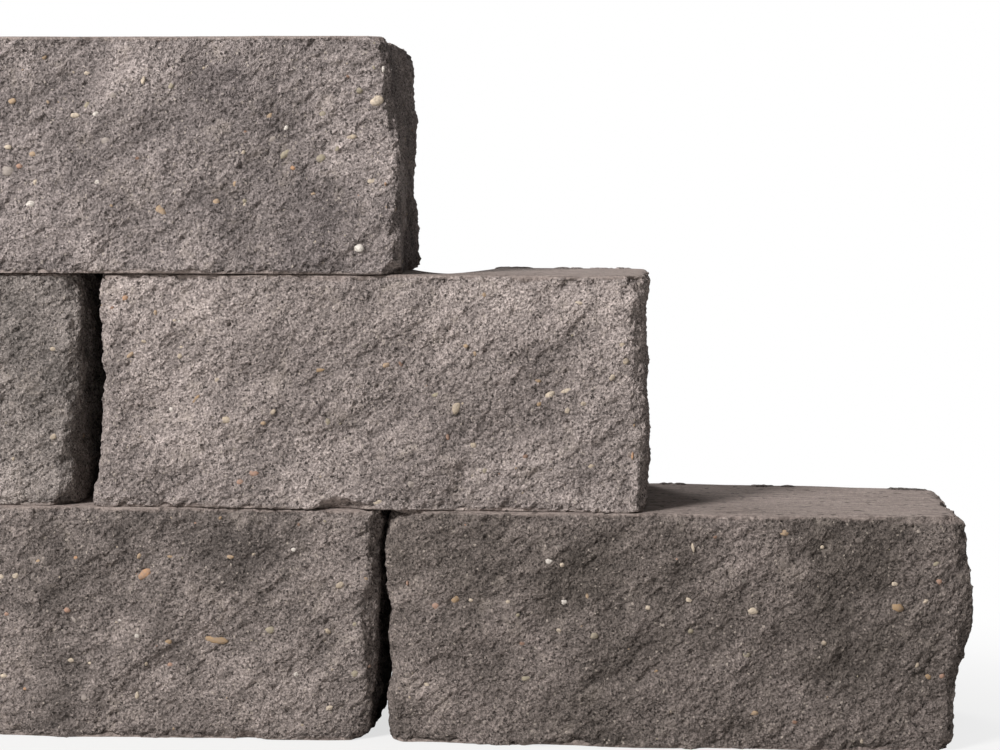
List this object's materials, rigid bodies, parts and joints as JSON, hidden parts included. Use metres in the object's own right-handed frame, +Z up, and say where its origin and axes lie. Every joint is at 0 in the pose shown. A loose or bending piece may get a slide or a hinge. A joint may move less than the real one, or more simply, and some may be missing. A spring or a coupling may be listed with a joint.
{
  "type": "stepped stack of split concrete walling blocks",
  "caption": "Stepped dry stack of dark grey split-face concrete walling blocks in half bond, with flat cast beds and rough split faces, ends and backs.",
  "frame": {"origin": "on the ground, at the middle of the stack's length and depth", "axes": "+X along the courses to the stepped end in the picture, +Z up, -Y towards the face side"},
  "size_m": [0.8954, 0.1331, 0.36],
  "materials": {
    "split_concrete": "rough split concrete with visible pebbles, smoother cast beds"
  },
  "bodies": {
    "root": {"bottom_left_block": "split_concrete", "bottom_middle_block": "split_concrete", "bottom_right_block": "split_concrete", "middle_left_block": "split_concrete", "middle_right_block": "split_concrete", "top_block": "split_concrete"}
  },
  "joints": []
}
